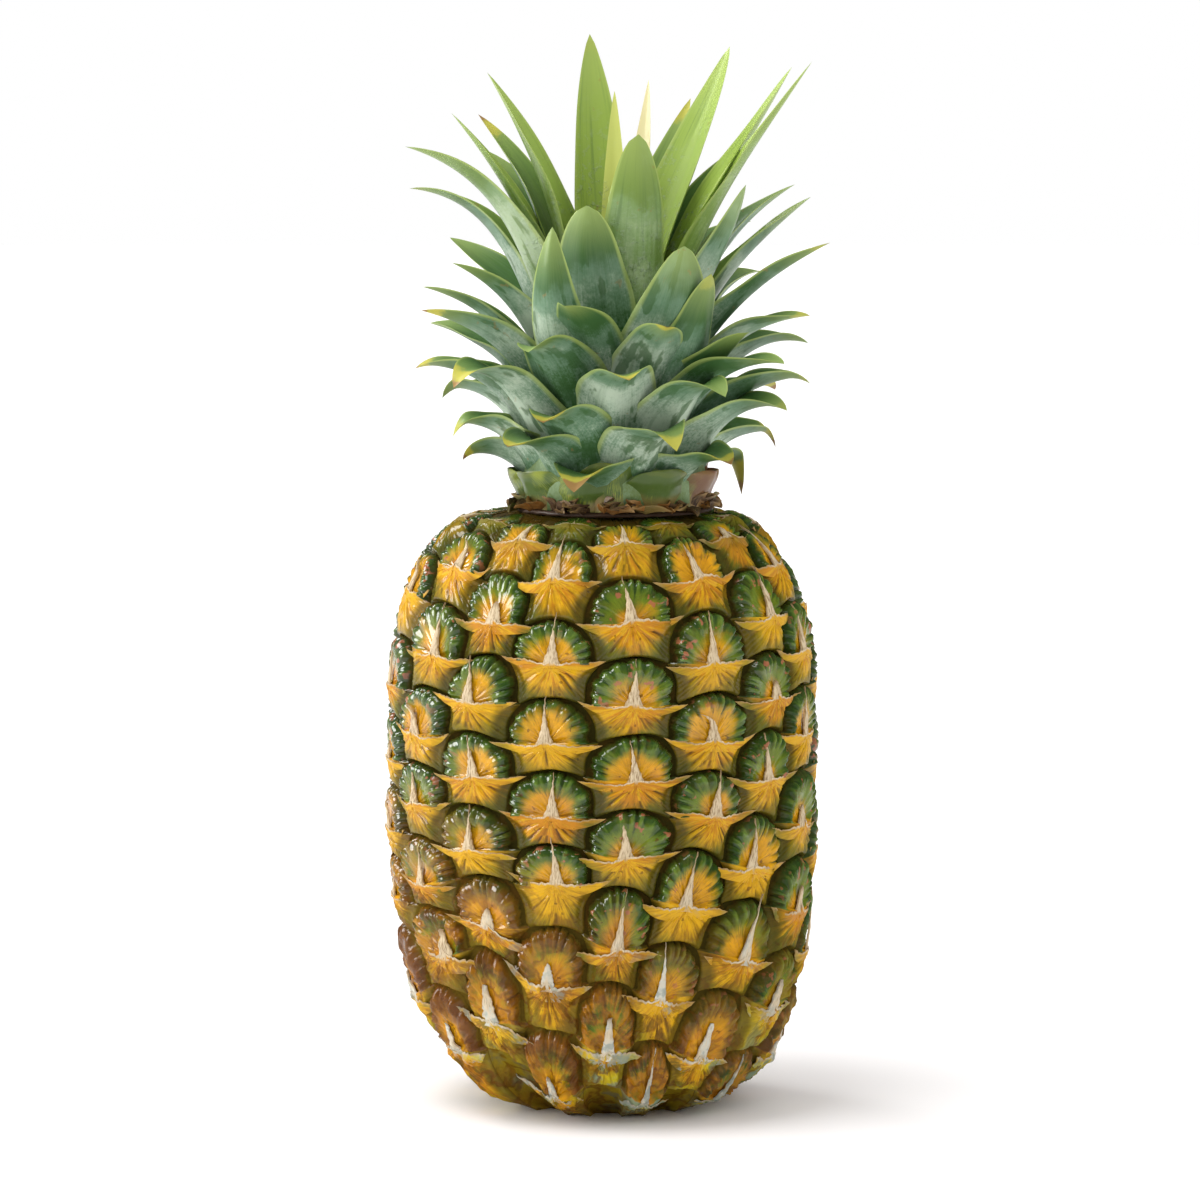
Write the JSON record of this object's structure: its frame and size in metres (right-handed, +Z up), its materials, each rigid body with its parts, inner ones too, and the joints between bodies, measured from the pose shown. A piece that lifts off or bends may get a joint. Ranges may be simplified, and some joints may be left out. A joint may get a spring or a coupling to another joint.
{
  "type": "pineapple",
  "caption": "Whole ripe pineapple standing upright, with a barrel-shaped fruit of raised eyes and bracts, a leafy crown and a cut stalk.",
  "frame": {"origin": "middle of the cut stalk's end, in the plane of the flattened base that the fruit stands on", "axes": "+Z up through the fruit and its crown, -Y towards the front seen in the picture, +X to the right seen from the front"},
  "size_m": [0.1227, 0.121, 0.2955],
  "materials": {
    "fruit_skin": "waxy rind of hard eyes, yellow-orange with green rims and dry bract tips",
    "stalk_wood": "dry, fibrous cut stalk",
    "dry_bract": "dry, papery bracts, matt",
    "crown_leaf": "leathery grey-green leaves, satin with a pale bloom"
  },
  "bodies": {
    "root": {"fruit": "fruit_skin", "stalk": "stalk_wood", "collar": "dry_bract", "crown": "crown_leaf"}
  },
  "joints": []
}
